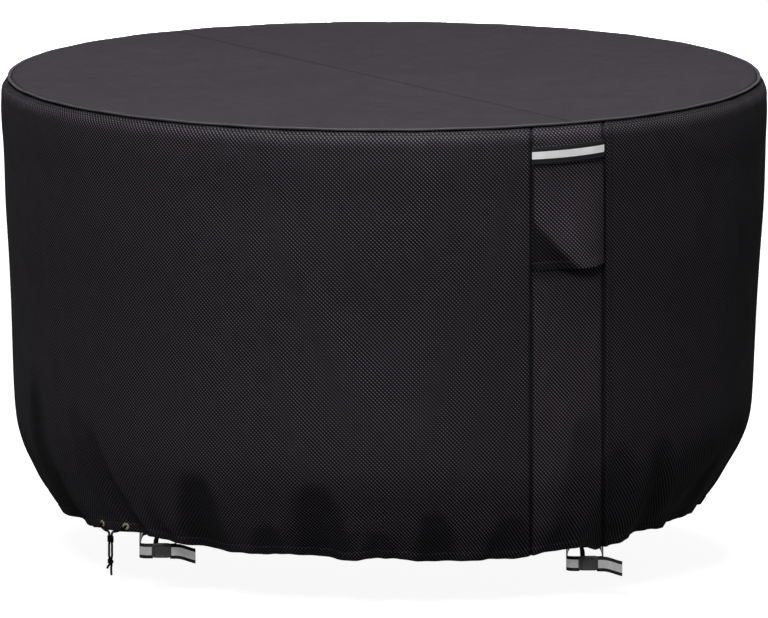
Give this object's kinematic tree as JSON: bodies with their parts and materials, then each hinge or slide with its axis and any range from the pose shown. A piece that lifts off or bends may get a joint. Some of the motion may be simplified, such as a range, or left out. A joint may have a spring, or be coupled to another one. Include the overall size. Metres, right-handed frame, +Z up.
{
  "type": "patio furniture cover",
  "caption": "Round dark grey fitted cover for a small patio table, with a gathered hem, drawcord, leg straps, vent hood and carry handle.",
  "frame": {"origin": "middle of the underside of the top, where the table top holds it", "axes": "+Z up, -Y the front, +X to the right seen from the front"},
  "size_m": [1.2718, 1.271, 0.7862],
  "materials": {
    "coated_cloth": "matt woven polyester with a diagonal weave",
    "piping_cloth": "matt corded piping",
    "striped_webbing": "black webbing with a pale reflective stripe woven along its middle",
    "brass": "polished",
    "black_cord": "braided",
    "buckle_plastic": "moulded"
  },
  "bodies": {
    "root": {"top_back_right": "coated_cloth", "top_front_left": "coated_cloth", "skirt_left": "coated_cloth", "skirt_right": "coated_cloth", "strip_panel": "coated_cloth", "vent_hood": "coated_cloth", "rim_welt": "piping_cloth", "handle_band": "striped_webbing", "strap_left_loop": "striped_webbing", "strap_left_tail": "striped_webbing", "strap_left_tab": "striped_webbing", "strap_right_loop": "striped_webbing", "strap_right_tail": "striped_webbing", "strap_right_tab": "striped_webbing", "eyelet_left": "brass", "eyelet_right": "brass", "draw_cord_left": "black_cord", "draw_cord_right": "black_cord", "cord_knot_upper": "black_cord", "cord_knot_lower": "black_cord", "strap_left_buckle": "buckle_plastic", "strap_right_buckle": "buckle_plastic"}
  },
  "joints": []
}
